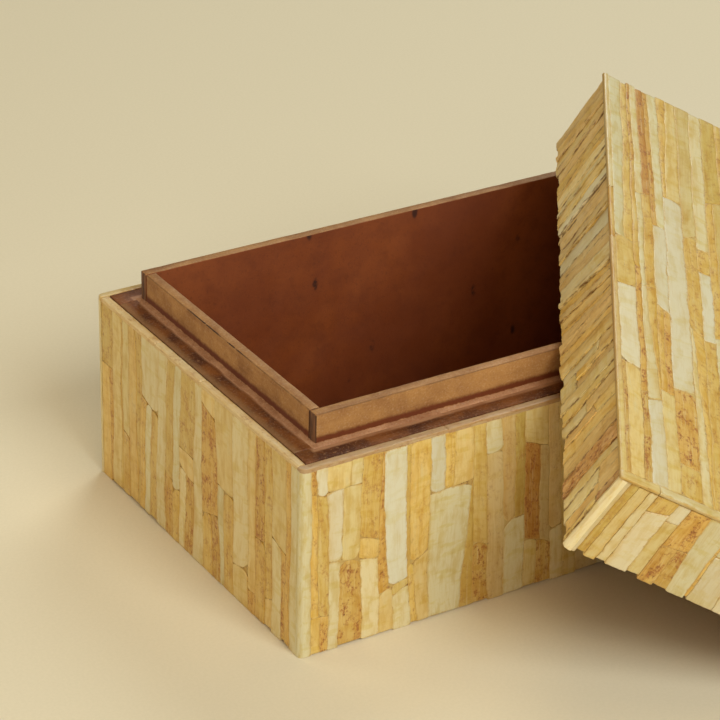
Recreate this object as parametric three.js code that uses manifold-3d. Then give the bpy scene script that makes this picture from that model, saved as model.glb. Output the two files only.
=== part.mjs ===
// Box for papers and keepsakes: a wooden box with a loose lid, both covered with thin slivers
// set side by side in resin. The lid is off and leans on the front of the box.
// Millimetres, +Z up, origin under the middle of the box, front towards -Y.

import * as THREE from 'three';
import { mergeVertices } from 'three/addons/utils/BufferGeometryUtils.js';
import Module from 'manifold-3d';

// Outer size over the covering; the lid has the length and width of the box.
const boxLength = 208;
const boxWidth = 140;
const boxHeight = 70;
const lidHeight = 34;

// Wooden boards of the box and the lid.
const boardThickness = 7.4;
const baseBoardThickness = 5.5;
const rimChamfer = 0.8;

// Thin boards that line the box and stand up above its rim to hold the lid in place.
const linerThickness = 3.7;
const linerRise = 11;
const lidPlay = 0.6;

// Covering: slivers side by side, each with its own width and relief, and a seam between two.
const coverThickness = 3.2;
const sliverLeastWidth = 2.5;
const sliverMostWidth = 8.6;
const sliverRelief = 0.7;
const seamWidth = 0.4;
const seamDepth = 1.3;

// Strip that edges the top of the box's covering.
const edgingHeight = 1.4;
const edgingRadius = 0.9;
const edgingArcSteps = 4;

// Joints between glued pieces, and the clearance where the lid touches what it leans on.
const glueLine = 0.3;
const restGap = 0.3;

// Lean of the lid: the way its long side points, how far along its length it crosses the
// front liner, and how far across its inside the box's right front corner stands.
const lidHeading = THREE.MathUtils.degToRad(56.46);
const crossingShare = 0.5;
const cornerShare = 0.658;
const angleHalvings = 50;

// Layers of a wall, each measured from the outer face of the covering inwards.
const boardInset = coverThickness + glueLine;
const linerInset = boardInset + boardThickness + lidPlay;
const wallThickness = boardInset + boardThickness;

const quarterTurn = Math.PI / 2;

// Starting numbers of the drawn sliver widths, so that each covering has its own.
const boxCoverSeed = 1009;
const lidCoverSeed = 5003;
const lidTopSeed = 7919;
const seedStep = 97;
const drawMultiplier = 16807;
const drawModulus = 2147483647;

// The four walls. Each is built as a back wall and then turned about the vertical axis.
const walls = [
  { side: 'front', turn: 2 * quarterTurn, reach: boxWidth / 2, isLong: true },
  { side: 'back', turn: 0, reach: boxWidth / 2, isLong: true },
  { side: 'left', turn: quarterTurn, reach: boxLength / 2, isLong: false },
  { side: 'right', turn: -quarterTurn, reach: boxLength / 2, isLong: false },
];

const wasm = await Module();
wasm.setup();

function finish(color, roughness) {
  return new THREE.MeshStandardMaterial({ color, roughness, metalness: 0 });
}

const sliverFinish = finish(0xd9c48c, 0.45);
const edgingFinish = finish(0xc8a878, 0.5);
const carcassFinish = finish(0x4a2f22, 0.6);
const linerFinish = finish(0xa8794a, 0.65);
const linerFloorFinish = finish(0x5a2a18, 0.6);
const lidBoardFinish = finish(0x6b4028, 0.65);

// Evenly spread numbers from 0 to 1 that are the same on every run.
function drawNumbers(seed) {
  let state = seed;
  return () => {
    state = (state * drawMultiplier) % drawModulus;
    return state / drawModulus;
  };
}

// Long walls run past the ends of the short ones, which fit between them.
function spanOfLayer(wall, inset, thickness) {
  return wall.isLong ? boxLength - 2 * inset : boxWidth - 2 * (inset + thickness + glueLine);
}

function frameOfWall(wall) {
  const frame = new THREE.Group();
  frame.rotation.z = wall.turn;
  return frame;
}

function meshOf(name, geometry, material) {
  const mesh = new THREE.Mesh(geometry, material);
  mesh.name = name;
  return mesh;
}

function solidOf(geometry) {
  const bare = geometry.clone();
  bare.deleteAttribute('normal');
  bare.deleteAttribute('uv');
  const merged = mergeVertices(bare);
  return new wasm.Manifold(new wasm.Mesh({
    numProp: 3,
    vertProperties: merged.attributes.position.array,
    triVerts: merged.index.array,
  }));
}

function cutAway(geometry, cutter) {
  const result = solidOf(geometry).subtract(solidOf(cutter)).getMesh();
  const cut = new THREE.BufferGeometry();
  cut.setAttribute('position', new THREE.BufferAttribute(result.vertProperties, 3));
  cut.setIndex(new THREE.BufferAttribute(result.triVerts, 1));
  cut.computeVertexNormals();
  return cut;
}

// Block whose four sides flare outwards at 45 degrees from bottom to top.
function flaredBlock(length, width, height) {
  const geometry = new THREE.BoxGeometry(length, width, height);
  const points = geometry.attributes.position;
  for (let i = 0; i < points.count; i += 1) {
    if (points.getZ(i) > 0) {
      points.setX(i, points.getX(i) + Math.sign(points.getX(i)) * height);
      points.setY(i, points.getY(i) + Math.sign(points.getY(i)) * height);
    }
  }
  return geometry;
}

// Board of one wall in that wall's frame, from one height to another.
function boardGeometry(wall, inset, thickness, bottom, top) {
  const span = spanOfLayer(wall, inset, thickness);
  const geometry = new THREE.BoxGeometry(span, thickness, top - bottom);
  geometry.translate(0, wall.reach - inset - thickness / 2, (top + bottom) / 2);
  return geometry;
}

function addBoard(body, name, wall, inset, thickness, bottom, top, material) {
  const frame = frameOfWall(wall);
  frame.add(meshOf(name, boardGeometry(wall, inset, thickness, bottom, top), material));
  body.add(frame);
}

// Carcass board, with the inner arris of the box's rim taken off as one mitred chamfer.
function addCarcassBoard(body, wall) {
  const board = boardGeometry(wall, boardInset, boardThickness, 0, boxHeight);
  const innerLength = boxLength - 2 * wallThickness;
  const innerWidth = boxWidth - 2 * wallThickness;
  const across = wall.isLong ? innerLength : innerWidth;
  const outwards = wall.isLong ? innerWidth : innerLength;
  const flareHeight = 2 * rimChamfer;
  const flare = flaredBlock(across, outwards, flareHeight);
  flare.translate(0, 0, boxHeight - rimChamfer + flareHeight / 2);
  const frame = frameOfWall(wall);
  frame.add(meshOf(`carcass_${wall.side}`, cutAway(board, flare), carcassFinish));
  body.add(frame);
}

// Widths of the slivers that fill one span, drawn between the least and the most.
function sliverWidths(span, draw) {
  const count = Math.max(1, Math.round((2 * span) / (sliverLeastWidth + sliverMostWidth)));
  const widths = Array.from({ length: count }, () => {
    return THREE.MathUtils.lerp(sliverLeastWidth, sliverMostWidth, draw());
  });
  const total = widths.reduce((sum, width) => sum + width, 0);
  return widths.map((width) => (width * span) / total);
}

// Covering seen along its slivers: flat at the back, with one step for each sliver and a
// narrow seam between two. The first and the last sliver have the full thickness.
function coverShape(span, seed) {
  const draw = drawNumbers(seed);
  const widths = sliverWidths(span, draw);
  const reliefs = widths.map((width, i) => {
    const isEnd = i === 0 || i === widths.length - 1;
    return isEnd ? 0 : draw() * sliverRelief;
  });
  const shape = new THREE.Shape();
  shape.moveTo(0, 0);
  shape.lineTo(span, 0);
  shape.lineTo(span, coverThickness);
  let edge = span;
  for (let i = widths.length - 1; i > 0; i -= 1) {
    edge -= widths[i];
    shape.lineTo(edge + seamWidth / 2, coverThickness - reliefs[i]);
    shape.lineTo(edge, coverThickness - seamDepth);
    shape.lineTo(edge - seamWidth / 2, coverThickness - reliefs[i - 1]);
  }
  shape.lineTo(0, coverThickness);
  shape.closePath();
  return shape;
}

// Covering of one wall, its slivers upright.
function addWallCover(body, name, wall, bottom, top, seed) {
  const span = spanOfLayer(wall, 0, coverThickness);
  const geometry = new THREE.ExtrudeGeometry(coverShape(span, seed), {
    depth: top - bottom,
    bevelEnabled: false,
  });
  const mesh = meshOf(name, geometry, sliverFinish);
  mesh.position.set(-span / 2, wall.reach - coverThickness, bottom);
  const frame = frameOfWall(wall);
  frame.add(mesh);
  body.add(frame);
}

// Edging strip on top of one wall's covering, its outer arris rounded.
function addEdging(body, wall) {
  const span = spanOfLayer(wall, 0, coverThickness);
  const radius = Math.min(edgingRadius, edgingHeight, coverThickness);
  const shape = new THREE.Shape();
  shape.moveTo(0, 0);
  shape.lineTo(coverThickness, 0);
  shape.lineTo(coverThickness, edgingHeight - radius);
  shape.absarc(coverThickness - radius, edgingHeight - radius, radius, 0, quarterTurn);
  shape.lineTo(0, edgingHeight);
  shape.closePath();
  const geometry = new THREE.ExtrudeGeometry(shape, {
    depth: span,
    bevelEnabled: false,
    curveSegments: edgingArcSteps,
  });
  geometry.rotateX(quarterTurn);
  geometry.rotateZ(quarterTurn);
  const mesh = meshOf(`edging_${wall.side}`, geometry, edgingFinish);
  mesh.position.set(-span / 2, wall.reach - coverThickness, boxHeight - edgingHeight);
  const frame = frameOfWall(wall);
  frame.add(mesh);
  body.add(frame);
}

// Flat panel that lies inside four walls, its edge the given distance inside the outer faces.
function addPanel(body, name, edgeInset, bottom, thickness, material) {
  const geometry = new THREE.BoxGeometry(
    boxLength - 2 * edgeInset,
    boxWidth - 2 * edgeInset,
    thickness,
  );
  const mesh = meshOf(name, geometry, material);
  mesh.position.z = bottom + thickness / 2;
  body.add(mesh);
}

function makeBox() {
  const box = new THREE.Group();
  const linerBottom = baseBoardThickness + glueLine;
  const linerTop = boxHeight + linerRise;
  const coverTop = boxHeight - edgingHeight - glueLine;
  walls.forEach((wall, index) => {
    addCarcassBoard(box, wall);
    addBoard(box, `liner_${wall.side}`, wall, linerInset, linerThickness, linerBottom, linerTop,
      linerFinish);
    addWallCover(box, `cover_${wall.side}`, wall, 0, coverTop, boxCoverSeed + seedStep * index);
    addEdging(box, wall);
  });
  addPanel(box, 'base_board', wallThickness + glueLine, 0, baseBoardThickness, carcassFinish);
  addPanel(box, 'liner_floor', linerInset + linerThickness + glueLine, linerBottom,
    linerThickness, linerFloorFinish);
  return box;
}

// Covering of the lid's top, its slivers along the lid, over the tops of the wall coverings.
function addLidTopCover(lid) {
  const geometry = new THREE.ExtrudeGeometry(coverShape(boxWidth, lidTopSeed), {
    depth: boxLength,
    bevelEnabled: false,
  });
  geometry.rotateX(quarterTurn);
  geometry.rotateZ(quarterTurn);
  const mesh = meshOf('lid_cover_top', geometry, sliverFinish);
  mesh.position.set(-boxLength / 2, -boxWidth / 2, lidHeight - coverThickness);
  lid.add(mesh);
}

// The lid stands on its rim in its own frame, with the origin in the middle of the rim.
function makeLid() {
  const lid = new THREE.Group();
  const topBoardBottom = lidHeight - wallThickness;
  const coverTop = lidHeight - coverThickness - glueLine;
  walls.forEach((wall, index) => {
    addBoard(lid, `lid_board_${wall.side}`, wall, boardInset, boardThickness, 0,
      topBoardBottom - glueLine, lidBoardFinish);
    addWallCover(lid, `lid_cover_${wall.side}`, wall, 0, coverTop,
      lidCoverSeed + seedStep * index);
  });
  addPanel(lid, 'lid_board_top', boardInset, topBoardBottom, boardThickness, lidBoardFinish);
  addLidTopCover(lid);
  return lid;
}

// Distance along the front liner from where the lid crosses it to the box's right end.
const crossingToEnd = (cornerShare * (boxWidth - 2 * wallThickness)) / Math.sin(lidHeading);

// Where the lid leans on the front liner, seen from the lid and from the box, and the corner of
// its rim that stands on the ground, the front left one.
const leanOnLid = new THREE.Vector3(
  (crossingShare - 1 / 2) * boxLength,
  boxWidth / 2 - wallThickness,
  0,
);
const leanOnBox = new THREE.Vector3(
  boxLength / 2 - crossingToEnd,
  linerInset - boxWidth / 2,
  boxHeight + linerRise,
);
const groundCorner = new THREE.Vector3(-boxLength / 2, -boxWidth / 2, 0);

// Axes of the lid for a given sideways slope and tilt towards the front.
function lidAxes(sideSlope, tilt) {
  const normal = new THREE.Vector3(
    Math.sin(sideSlope),
    -Math.cos(sideSlope) * Math.sin(tilt),
    Math.cos(sideSlope) * Math.cos(tilt),
  );
  const across = new THREE.Vector3(Math.sin(lidHeading), -Math.cos(lidHeading), 0);
  const along = new THREE.Vector3().crossVectors(normal, across).normalize();
  const back = new THREE.Vector3().crossVectors(normal, along);
  return new THREE.Matrix4().makeBasis(along, back, normal);
}

// Place beside the box of a point of the lid, while the lid leans on the front liner.
function placeOf(pointOnLid, axes) {
  return pointOnLid.clone().sub(leanOnLid).applyMatrix4(axes).add(leanOnBox);
}

// Largest angle below a limit at which the lid still stands clear.
function largestAngle(limit, isClear) {
  let least = 0;
  let most = limit;
  for (let halving = 0; halving < angleHalvings; halving += 1) {
    const angle = (least + most) / 2;
    if (isClear(angle)) {
      least = angle;
    } else {
      most = angle;
    }
  }
  return least;
}

// The lid tilts about where it crosses the front liner until its corner meets the ground.
function axesAtRest(sideSlope) {
  const isOverGround = (tilt) => placeOf(groundCorner, lidAxes(sideSlope, tilt)).z > 0;
  return lidAxes(sideSlope, largestAngle(quarterTurn, isOverGround));
}

// Whether the inner edge of the lid's right rim passes over the right end of the box.
function clearsRightEnd(axes) {
  const rimReach = boxLength / 2 - wallThickness;
  const front = placeOf(new THREE.Vector3(rimReach, -boxWidth / 2, 0), axes);
  const back = placeOf(new THREE.Vector3(rimReach, boxWidth / 2, 0), axes);
  const endShare = (boxLength / 2 - back.x) / (front.x - back.x);
  return THREE.MathUtils.lerp(back.z, front.z, endShare) > boxHeight;
}

// The lid slopes sideways until the inside of its top meets the right corner of the front
// liner, or its rim meets the right end of the box first.
function leanLid(lid) {
  const insideDepth = lidHeight - wallThickness;
  const topSlope = Math.asin(insideDepth / (crossingToEnd - linerInset));
  const sideSlope = largestAngle(topSlope, (slope) => clearsRightEnd(axesAtRest(slope)));
  const axes = axesAtRest(sideSlope);
  lid.quaternion.setFromRotationMatrix(axes);
  lid.position.copy(leanOnBox).sub(leanOnLid.clone().applyMatrix4(axes));
  lid.position.z += restGap;
}

const keepsakeBox = new THREE.Group();
const lid = makeLid();
leanLid(lid);
keepsakeBox.add(makeBox(), lid);

export default keepsakeBox;
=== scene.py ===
"""Looks of the box for papers and keepsakes: pale slivers in resin over stained wooden boards.

Every place comes from the CAD nodes, in metres. Sizes of slivers are written in millimetres
on the faces that they cover.
"""

import math
import random

import bmesh
import bpy
import numpy as np
from mathutils import Matrix, Vector


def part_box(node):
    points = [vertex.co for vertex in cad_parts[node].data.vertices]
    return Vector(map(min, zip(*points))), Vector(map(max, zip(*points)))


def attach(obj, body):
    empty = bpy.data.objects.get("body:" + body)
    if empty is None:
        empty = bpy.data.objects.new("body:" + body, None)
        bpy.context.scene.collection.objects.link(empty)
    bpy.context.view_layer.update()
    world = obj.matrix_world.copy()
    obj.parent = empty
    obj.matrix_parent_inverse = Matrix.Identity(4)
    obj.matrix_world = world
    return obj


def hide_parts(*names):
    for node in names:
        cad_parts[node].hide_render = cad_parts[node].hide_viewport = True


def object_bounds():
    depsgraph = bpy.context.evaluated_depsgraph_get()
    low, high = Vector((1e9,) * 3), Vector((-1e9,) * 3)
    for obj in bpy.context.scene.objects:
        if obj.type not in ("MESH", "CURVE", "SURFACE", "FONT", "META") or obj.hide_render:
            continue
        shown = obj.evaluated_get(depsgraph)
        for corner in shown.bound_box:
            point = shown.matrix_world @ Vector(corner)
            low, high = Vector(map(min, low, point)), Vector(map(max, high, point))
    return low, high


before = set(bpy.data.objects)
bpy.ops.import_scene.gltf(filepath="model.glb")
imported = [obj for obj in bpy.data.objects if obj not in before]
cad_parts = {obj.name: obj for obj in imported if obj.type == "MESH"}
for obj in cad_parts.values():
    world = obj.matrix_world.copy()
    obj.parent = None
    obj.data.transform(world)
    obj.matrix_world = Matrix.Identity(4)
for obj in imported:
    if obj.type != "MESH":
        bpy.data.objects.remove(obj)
cad_low, cad_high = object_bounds()

MM = 0.001
SEED = 2088
SEED_STEP = 31
SIDES = ("front", "back", "left", "right")
ENDS = ("left", "right")

# Slivers and their edging, in millimetres.
SEAM_HALF = 0.012
BLEED = 0.9
LEAST_WIDTH = 0.5
LEAST_HEIGHT = 0.3
TOLERANCE = 0.01
BORDER_FADE = 4
CROSSED_WIDTH = 12
MOST_TONGUE = 7
BORDER_ROUNDING = 0.15
ROW_STEP = 1.4
FINE_STEP = 0.9
LEAST_STEP = 0.03
SIDE_FADES = (0.6, 2.6)
PATTERN_SPREAD = 500
CLOSED_GAP = 0.28
WALL_CORNER = 2.2
LID_WALL_RISE = 2.0
LID_END_STRIP = 3.2
RESIN_STEP = 3
RESIN_WAVER = 0.03
EDGING_LENGTHS = (16, 60)
LEAST_EDGING = 20
EDGING_BED = 0.25
EDGING_INNER = 0.15
EDGING_OUTER = 0.35
EDGING_TAPER = 0.2

# Wavelengths of what is uneven in a covering, in millimetres, and how it is made up.
WARP_WAVE = 26
SMALL_WARP_WAVE = 7
WOBBLE_WAVE = 3.2
DENT_WAVE = 3.4
LEVEL_WAVE = 5
RIDGE_WAVE = 1.7
RESIN_WAVE = 9
RIPPLE_WAVES = 6
RIPPLE_PEAK = 3
RIPPLE_SHARES = (0.6, 1.8)

# Shares of a sliver's width, length or radius, and of the slivers that have a ragged end.
ARRIS_SHARES = (0.7, 1.2)
EDGE_SHARES = (0, 0.12, 0.45, 1)
EDGE_ROOM = 2.2
CORNER_SHARES = (0.05, 0.14, 0.28, 0.5, 0.75, 1)
TONGUE_SHARES = (0.6, 1)
BLUNT_SHARES = (0.05, 0.3)
END_LEAN_SHARE = 0.35
MOST_SKEW_SHARE = 0.03
RAGGED_SHARE = 0.6
COUNT_SHARES = (0.5, 1.6)
TAPER_SHARES = (0.6, 1.5)
STOP_SHARE = 0.3

# Boards.
WORN_RADIUS = 0.3 * MM
WEAR_DEPTH = 0.1 * MM
WEAR_WAVE = 9 * MM
MERGE_DISTANCE = 0.01 * MM
CUT_STEP = 4 * MM
FLAT_ANGLE = 0.1
SHARP_ANGLE = 0.5
FINE_RELIEF = 0.3 * MM
PAPER_RELIEF = 0.2 * MM
GROOVE_DEPTH = 0.4 * MM
ROUGH_GROOVE_DEPTH = 0.7 * MM
# The dark line at the liner's foot, stain and painted shade of the joint: its height above the
# rim, how far it wavers, where it starts and fades, and where the paler foot below it does, worn
# and with a painted highlight, measured from the line.
STAIN_SHADE_RISE = 2.0 * MM
END_STAIN_SHADE_RISE = 2.2 * MM
STAIN_SHADE_WAVER = 1.8 * MM
STAIN_SHADE_START = (-1.6 * MM, -0.9 * MM)
STAIN_SHADE_FADE = (1.8 * MM, 0.2 * MM)
WORN_HIGHLIT_FOOT = (-1.0 * MM, -1.6 * MM)
CHIPPED_SHARES = (0.38, 0.72)
CHIP_FADE = 10 * MM
# The carcass's inner arris, worn paler and with a painted highlight, and its dusty outer margin,
# measured from that arris.
WORN_HIGHLIT_WIDTH = 2.0 * MM
END_WORN_HIGHLIT_WIDTH = 1.0 * MM
WORN_HIGHLIT_WAVER = 1.2 * MM
WORN_HIGHLIT_FADE = 1.2 * MM
DUSTY_MARGIN = (4.2 * MM, 6.8 * MM)
DUST_SHARE = 0.45
# The bead round the liner's foot.
BEAD_REACH = 1.1 * MM
BEAD_SINK = 0.15 * MM
BEAD_DEPTH = 0.4 * MM
BEAD_WAVER = 0.12 * MM
BEAD_WAVE = 11 * MM
BEAD_STEPS = 40
BEAD_SHARES = (0, 0.25, 0.5, 0.75, 1)
BEAD_RISES = np.array((-0.1, 0.24, 0.44, 0.6, 0.75)) * MM

# Smallest angle of an arris that stays sharp, in degrees.
SLIVER_SHARP = 78
BEAD_SHARP = 50
BOARD_SHARP = 35

# Setting: floor, camera and lights, each with its turn and rise in degrees, power and colour.
FLOOR_SIZE = 6.0
FLOOR_DROP = 0.05 * MM
CAMERA_PLACE = Vector((-509.96, -746.16, 525.80)) * MM
CAMERA_HEADING = math.radians(57.79)
CAMERA_DROP = math.radians(27.85)
CAMERA_ROLL = math.radians(1.43)
CAMERA_LENS = 147.158
CAMERA_SENSOR = 36
LIGHT_DISTANCE = 1.8
LIGHT_SIZE = 0.9
LIGHTS = {
    "key": (270, 41, 25, (0.82, 0.92, 1.0)),
    "key_left": (240, 36, 11, (1.0, 0.84, 0.66)),
    "behind": (45, 40, 13.2, (0.9, 0.98, 1.0)),
    "left_back": (138, 15, 9.3, (1.0, 0.91, 0.72)),
    "left_front": (215, 15, 2.6, (1.0, 0.9, 0.74)),
    "above": (0, 88, 3.2, (1.0, 0.74, 0.4)),
}
WORLD_COLOUR = (1.0, 0.96, 0.9, 1.0)
WORLD_STRENGTH = 0.015

# Kinds of sliver: screen colour, how pitted, how streaky and how mottled it is.
KINDS = {
    "white": ((214, 202, 165), 0.0, 0.4, 0.5),
    "cream": ((214, 199, 151), 0.0, 0.5, 0.8),
    "pale": ((215, 190, 124), 0.05, 0.6, 0.9),
    "yellow": ((215, 184, 106), 0.15, 0.7, 0.9),
    "ochre": ((212, 179, 97), 0.4, 0.9, 0.9),
    "amber": ((207, 169, 89), 0.9, 1.0, 0.9),
    "brown": ((192, 144, 66), 0.9, 1.0, 0.9),
    "olive": ((199, 170, 88), 0.25, 0.8, 0.8),
    "tan": ((208, 180, 120), 0.2, 0.7, 0.5),
    "pink": ((184, 149, 104), 0.3, 0.8, 0.4),
    "peach": ((213, 184, 129), 0.3, 0.8, 0.4),
    "bark": ((186, 150, 98), 1.0, 1.0, 0.9),
}
DRAWN_KINDS = ["white", "cream", "cream", "cream", "pale", "pale", "pale", "yellow", "yellow"]
DRAWN_KINDS += ["ochre", "ochre", "ochre", "amber", "olive", "tan"]
SHADED_KINDS = ["cream", "cream", "pale", "pale", "pale", "tan", "tan", "tan", "tan", "yellow"]
SHADED_KINDS += ["ochre", "white"]

# Colour of a sliver's darker side against its middle: golden, or plain brown on the lid's walls.
GOLDEN_SIDE = np.array((0.93, 0.82, 0.6))
BROWN_SIDE = np.array((0.74, 0.64, 0.5))
# Painted shade on the outer arris of the lid's top covering: its colour against its middle.
RIM_SHADE_SHARES = np.array((0.7, 0.58, 0.44))

# Coverings read from left to right as seen from outside. A name is one sliver. A list holds
# strips side by side: width at the start, width at the end, what it is. A tuple holds lengths
# end to end, with the share of the length where each one stops. Widths are in millimetres.
FRONT = [
    (4.2, 4.0, "cream"),
    (6.8, 6.1, (
        [(3.8, 3.2, "yellow"), (3.6, 3.4, "amber")], 0.2,
        [(3.0, 2.6, "ochre"), (4.6, 4.8, "ochre")], 0.86,
        [(2.4, 2.2, "amber"), (4.0, 4.2, "white")],
    )),
    (18.7, 20.5, (
        [(3.6, 4.2, "cream"), (9.2, 7.9, "amber"), (5.9, 7.2, "cream")], 0.46,
        [
            (11.6, 12.8, (
                [(4.8, 5.6, "white"), (6.8, 6.4, "pale")], 0.74,
                [(8.7, 8.8, "pale"), (4.1, 4.2, "cream")],
            )),
            (7.4, 7.6, ("yellow", 0.2, "ochre")),
        ],
    )),
    (12.3, 9.6, (
        [(5.6, 5.0, "pale"), (6.8, 6.9, ("cream", 0.82, "ochre"))], 0.25,
        [(4.4, 0.6, "amber"), (7.9, 9.2, "white")],
    )),
    (7.5, 9.5, (
        [(2.6, 2.6, "ochre"), (4.9, 5.5, "pale")], 0.36,
        [(1.5, 1.5, "olive"), (7.6, 8.2, "yellow")],
    )),
    (18.0, 17.4, (
        [(12.8, 16.8, "cream"), (5.2, 0.5, "olive")], 0.7,
        [(5.5, 5.8, "white"), (3.2, 4.4, "ochre"), (7.8, 7.2, "pale")],
    )),
    (5.6, 5.2, ("amber", 0.34, "yellow")),
    (6.4, 6.8, ("tan", 0.82, "cream")),
    (8.8, 9.0, ("cream", 0.42, [(4.8, 5.0, "tan"), (4.0, 4.0, "olive")])),
    (11.4, 9.4, (
        [(5.2, 4.8, "pale"), (6.2, 5.4, "amber")], 0.26,
        [(6.2, 6.0, "brown"), (4.0, 3.6, "tan")], 0.8,
        "pale",
    )),
    (5.0, 4.4, ("cream", 0.3, "tan")),
]
LEFT = [
    (8.0, 8.0, ([(6.4, 4.4, "yellow"), (1.6, 3.6, "amber")], 0.66, "ochre")),
    (6.4, 6.0, "pale"),
    (1.3, 1.2, "olive"),
    (4.5, 4.5, ("ochre", 0.36, "pale")),
    (6.0, 5.4, "yellow"),
    (1.2, 4.4, "ochre"),
    (12.4, 11.8, (
        [(3.4, 3.6, "ochre"), (4.0, 4.4, "cream"), (5.0, 4.6, "ochre")], 0.64,
        "cream",
    )),
    (6.0, 6.2, "cream"),
    (5.4, 5.2, ("amber", 0.34, "olive")),
    (4.4, 4.6, ("ochre", 0.3, "cream")),
    (10.6, 9.0, ([(4.4, 4.0, "cream"), (6.2, 5.4, "amber")], 0.44, ("pale", 0.22, "ochre"))),
    (7.0, 4.2, "cream"),
    (12.0, 9.6, ([(6.6, 5.6, "ochre"), (5.4, 4.4, "amber")], 0.34, "amber", 0.9, "pale")),
    (8.8, 11.2, ([(2.4, 4.2, "cream"), (6.2, 6.6, "ochre")], 0.54, "pale")),
    (10.2, 9.6, ("pale", 0.2, "cream")),
    (4.8, 5.4, ("amber", 0.12, "pale")),
    (6.4, 6.0, ("ochre", 0.45, "amber")),
    (4.6, 4.6, ("pale", 0.17, "ochre")),
    (8.2, 8.0, ([(6.0, 5.6, "cream"), (2.4, 2.6, "amber")], 0.51, "pale")),
    (2.8, 3.0, "ochre"),
]
LID_TOP = [
    # The first strip's darker kinds add to the painted shade along the outer arris.
    (2.2, 1.6, ("pale", 0.2, "tan", 0.55, "ochre", 0.68, "cream")),
    (6.4, 7.0, (
        [(1.5, 1.2, "amber"), (5.0, 5.2, "pale")], 0.25,
        "white", 0.44,
        "yellow", 0.56,
        [(3.4, 4.6, "cream"), (3.0, 2.4, "ochre")],
    )),
    (2.8, 1.4, ("amber", 0.2, "amber", 0.5, "ochre", 0.78, "amber")),
    (5.6, 5.8, (
        "white", 0.19,
        [(5.2, 1.7, "cream"), (0.5, 4.2, "ochre")], 0.46,
        [(1.9, 2.4, "cream"), (4.0, 3.2, "ochre")], 0.7,
        [(2.8, 2.6, "cream"), (2.8, 3.0, "brown")],
    )),
    (4.4, 5.2, (
        "pale", 0.22,
        [(2.2, 2.4, "ochre"), (2.2, 2.4, "amber")], 0.42,
        "white", 0.63,
        [(1.8, 1.6, "amber"), (3.0, 3.4, "cream")],
    )),
    (7.4, 7.0, (
        "ochre", 0.07, "amber", 0.24, "white", 0.72, [(1.2, 3.4, "ochre"), (6.0, 3.8, "pale")],
    )),
    (4.8, 5.6, ([(4.2, 0.9, "cream"), (0.6, 4.4, "ochre")], 0.4, "ochre", 0.64, "pale")),
    (4.4, 5.0, ("ochre", 0.39, "white", 0.56, "ochre", 0.62, "cream")),
]
LID_LEFT = [
    (1.4, 1.6, "white"),
    (2.6, 2.6, "olive"),
    (3.9, 3.9, "pale"),
    (3.2, 2.8, "cream"),
    (7.6, 7.4, ("white", 0.8, "ochre")),
    (4.8, 4.4, ("pale", 0.76, "white")),
    (10.6, 6.8, ([(6.0, 5.0, "amber"), (5.0, 3.0, "amber")], 0.5, "amber")),
    (6.0, 8.4, "cream"),
    (1.2, 0.8, "yellow"),
    (9.0, 8.0, ("white", 0.6, "cream")),
]
# The end of the lid's back covering that is next to its left wall.
LID_BACK_END = [
    (6.2, 6.2, "pale"),
    (5.0, 5.0, ("cream", 0.7, "tan")),
    (8.0, 7.0, ("cream", 0.3, [(3.6, 3.6, "pale"), (4.4, 3.4, "tan")])),
    (5.8, 6.2, "cream"),
    (5.2, 4.8, "pale"),
    (4.6, 5.2, ("cream", 0.45, "tan")),
    (5.6, 5.4, ("tan", 0.6, "pale")),
    (6.8, 6.8, "pale"),
    (7.2, 7.4, "tan"),
    (7.8, 7.6, "bark"),
    (4.8, 5.2, "cream"),
    (11.2, 10.8, ([(6.4, 6.2, "cream"), (4.8, 4.6, "tan")], 0.64, "tan")),
    (2.6, 2.8, ("pale", 0.6, "bark")),
    (2.6, 2.6, "white"),
]
# A covering's shape where its style says nothing else.
PLAIN_SHAPE = {
    "relief": 0, "roughness": 0, "ridge": 0, "warp": 0, "arris": 0, "rounding": 0, "base": 0.1,
    "corner": 0, "end_corner": 0, "rim": 0, "shade": 1, "seam_half": SEAM_HALF,
    "side": GOLDEN_SIDE,
}
# Strips that lie across the left end of the lid's top.
LID_TOP_END = [
    (14, 14, "pale"), (27, 27, "cream"), (38, 38, "pale"), (30, 30, "cream"), (31, 31, "pale"),
]


def linear(screen_colour):
    """Linear colour of a screen colour from 0 to 255."""
    shares = [value / 255 for value in screen_colour]
    return [s / 12.92 if s <= 0.04045 else ((s + 0.055) / 1.055) ** 2.4 for s in shares]


def rgba(*screen_colour):
    return (*linear(screen_colour), 1.0)


# Places taken from the CAD nodes


def centre(node):
    low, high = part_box(node)
    return (low + high) / 2


def reach(node, axis):
    """Least and greatest place of a CAD node along an axis."""
    places = [vertex.co.dot(axis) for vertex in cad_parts[node].data.vertices]
    return min(places), max(places)


def casing_axes(prefix):
    """Axes of the box or the lid along its length, towards its back and up."""
    along = (centre(prefix + "right") - centre(prefix + "left")).normalized()
    back = (centre(prefix + "back") - centre(prefix + "front")).normalized()
    return along, back, along.cross(back)


AXES = {"box": casing_axes("carcass_"), "lid": casing_axes("lid_board_")}


def outward(side, body):
    """Direction out of the box or the lid on one side of it."""
    along, back, up = AXES[body]
    walls = {"front": -back, "back": back, "left": -along, "right": along}
    return (walls | {"top": up, "bottom": -up})[side]


def lengthwise(side, body):
    """Direction that the boards on one side run in."""
    along, back, up = AXES[body]
    return back if side in ENDS else along


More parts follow.
